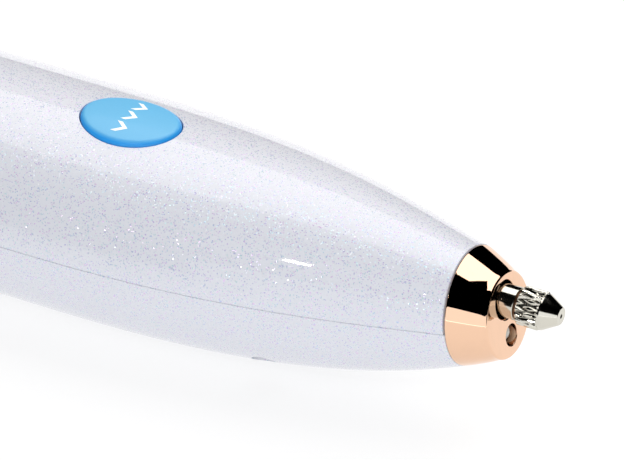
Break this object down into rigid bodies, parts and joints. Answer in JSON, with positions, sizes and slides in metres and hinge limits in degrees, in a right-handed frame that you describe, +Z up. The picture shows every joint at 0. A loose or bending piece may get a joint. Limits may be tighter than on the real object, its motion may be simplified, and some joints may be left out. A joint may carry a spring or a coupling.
{
  "type": "three d printing pen",
  "caption": "Egg-shaped hand-held 3D printing pen with a plated nose cap, a knurled conical nozzle, oval feed buttons, a speed slider and a geared filament drive inside.",
  "frame": {"origin": "on the rest flat under the belly, half way along the pen", "axes": "+X from the tail to the nozzle tip, +Z up, square to the rest flat"},
  "size_m": [0.185, 0.0422, 0.0351],
  "materials": {
    "shell": "gloss",
    "rose_plating": "gloss",
    "nozzle_plating": "polished",
    "button": "gloss",
    "pale_plastic": "satin",
    "dark_plastic": "matte",
    "steel": "satin",
    "brass": "satin",
    "copper": "satin",
    "ceramic": "matte",
    "glass_fibre": "matte",
    "tubing": "satin",
    "board": "satin",
    "lens": "gloss",
    "frame": "satin"
  },
  "bodies": {
    "pen": {"upper_shell": "shell", "lower_shell": "shell", "tail_cap": "shell", "nose_cap": "rose_plating", "heater_barrel": "nozzle_plating", "heater_sleeve": "ceramic", "insulation_sleeve": "glass_fibre", "thermistor": "lens", "hot_end_mount": "dark_plastic", "feed_tube": "tubing", "guide_tube": "tubing", "inlet_bush": "dark_plastic", "power_socket": "dark_plastic", "socket_pin": "steel", "feed_frame": "frame", "gearbox_case": "steel", "motor_case": "steel", "motor_end_cap": "dark_plastic", "lever_pin": "steel", "idler_spring": "steel", "frame_screws": "steel", "shell_screws": "steel", "board_screws": "steel", "out_switch": "dark_plastic", "in_switch": "dark_plastic", "speed_potentiometer": "steel", "circuit_board": "board", "controller_chip": "dark_plastic", "driver_chip": "dark_plastic", "regulator_coil": "dark_plastic", "power_capacitors": "frame", "nose_led": "lens", "led_board": "board"},
    "out_button": {"out_button": "button", "out_plunger": "pale_plastic"},
    "in_button": {"in_button": "button", "in_plunger": "pale_plastic"},
    "speed_knob": {"speed_knob": "button"},
    "feed_roller": {"feed_shaft": "steel", "feed_wheel": "steel", "feed_gear": "brass"},
    "gearbox_output": {"drive_pinion": "brass", "gearbox_shaft": "steel"},
    "idler": {"idler_lever": "dark_plastic", "idler_axle": "steel"},
    "idler_bearing": {"idler_bearing": "steel"},
    "nozzle_washer": {"nozzle_washer": "copper"},
    "nozzle": {"nozzle": "nozzle_plating"}
  },
  "joints": [
    {"name": "out_button_press", "type": "slide", "parent": "pen", "child": "out_button", "axis": [0, 0, -1], "range_m": [0, 0.0005], "stiffness_N_per_m": 1500},
    {"name": "in_button_press", "type": "slide", "parent": "pen", "child": "in_button", "axis": [0, 0, -1], "range_m": [0, 0.0005], "stiffness_N_per_m": 1500},
    {"name": "speed_slide", "type": "slide", "parent": "pen", "child": "speed_knob", "axis": [1, 0, 0], "range_m": [-0.006, 0.006]},
    {"name": "feed_turn", "type": "hinge", "parent": "pen", "child": "feed_roller", "pos_m": [0.0365, 0, 0.0169], "axis": [0, 1, 0], "continuous": true},
    {"name": "gearbox_output_turn", "type": "hinge", "parent": "pen", "child": "gearbox_output", "pos_m": [0.0365, 0.011, 0.0169], "axis": [1, 0, 0], "continuous": true},
    {"name": "idler_lift", "type": "hinge", "parent": "pen", "child": "idler", "pos_m": [0.045, 0, 0.0269], "axis": [0, 1, 0], "range_deg": [0, 4], "stiffness_Nm_per_rad": 0.3, "springref_deg": -5.16, "deforming": ["idler_spring"]},
    {"name": "idler_bearing_turn", "type": "hinge", "parent": "idler", "child": "idler_bearing", "pos_m": [0.0365, 0, 0.0261], "axis": [0, 1, 0], "continuous": true},
    {"name": "nozzle_washer_slide", "type": "slide", "parent": "pen", "child": "nozzle_washer", "axis": [1, 0, 0], "range_m": [0, 0.0025]},
    {"name": "nozzle_unscrew", "type": "hinge", "parent": "nozzle_washer", "child": "nozzle", "pos_m": [0.0925, 0, 0.0215], "axis": [1, 0, 0], "range_deg": [0, 1800]}
  ],
  "couplings": [
    {"joint": "gearbox_output_turn", "follows": "feed_turn", "ratio": -1.5},
    {"joint": "nozzle_washer_slide", "follows": "nozzle_unscrew", "m_per_rad": 0.000079577}
  ]
}
